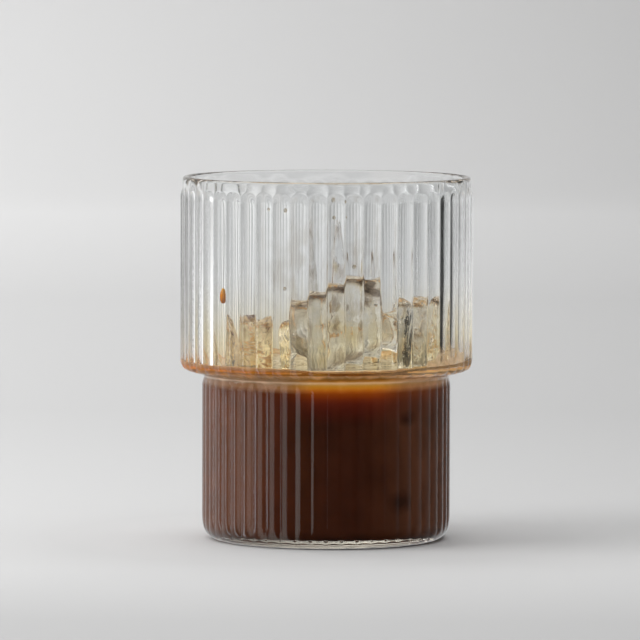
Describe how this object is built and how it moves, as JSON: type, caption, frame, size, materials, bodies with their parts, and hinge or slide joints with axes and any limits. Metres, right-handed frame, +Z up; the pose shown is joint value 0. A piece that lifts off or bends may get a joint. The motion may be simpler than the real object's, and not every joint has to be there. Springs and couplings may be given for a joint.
{
  "type": "iced espresso in a ribbed glass",
  "caption": "Black iced espresso with clear ice and a rim of golden foam, in a clear stepped tumbler with upright ribs.",
  "frame": {"origin": "middle of the glass's base, on the plane it stands on", "axes": "+Z up along the glass's axis, -Y towards the picture's camera, +X to its right"},
  "size_m": [0.08, 0.0798, 0.0993],
  "materials": {
    "clear_glass": "clear, smooth, pressed ribs",
    "coffee": "liquid, glossy, dark brown with amber where it is thin",
    "crema": "fine foam, golden tan",
    "ice": "clear, wet, melted edges"
  },
  "bodies": {
    "root": {"glass": "clear_glass", "coffee": "coffee", "crema": "crema", "ice_centre": "ice", "ice_right": "ice", "ice_left": "ice", "ice_shard": "ice", "ice_chip": "ice"}
  },
  "joints": []
}
